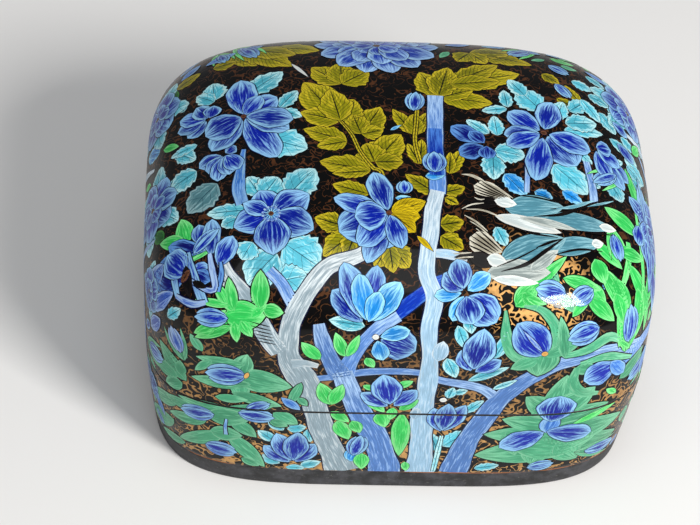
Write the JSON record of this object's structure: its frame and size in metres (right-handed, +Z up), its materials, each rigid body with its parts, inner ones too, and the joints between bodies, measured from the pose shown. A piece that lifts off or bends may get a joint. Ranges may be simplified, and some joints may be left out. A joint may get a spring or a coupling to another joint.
{
  "type": "papier mache box",
  "caption": "Small rounded rectangular keepsake box with swelling sides and a low domed lid that lifts straight off a locating lip, lacquered all over with painted flowers, leaves and birds.",
  "frame": {"origin": "on the table, under the middle of the box", "axes": "+X to the right along the width, +Y to the back, +Z up"},
  "size_m": [0.127, 0.102, 0.076],
  "materials": {
    "foot_board": "matt, mottled near-black paint",
    "base_lacquer": "gloss lacquer over painted ornament",
    "black_card": "plain black paint",
    "lid_lacquer": "gloss lacquer over painted ornament"
  },
  "bodies": {
    "base": {"bottom_board": "foot_board", "base_shell": "base_lacquer", "inner_lip": "black_card"},
    "lid": {"lid_shell": "lid_lacquer"}
  },
  "joints": [
    {"name": "lid_lift", "type": "slide", "parent": "base", "child": "lid", "axis": [0, 0, 1], "range_m": [0, 0.06]}
  ]
}
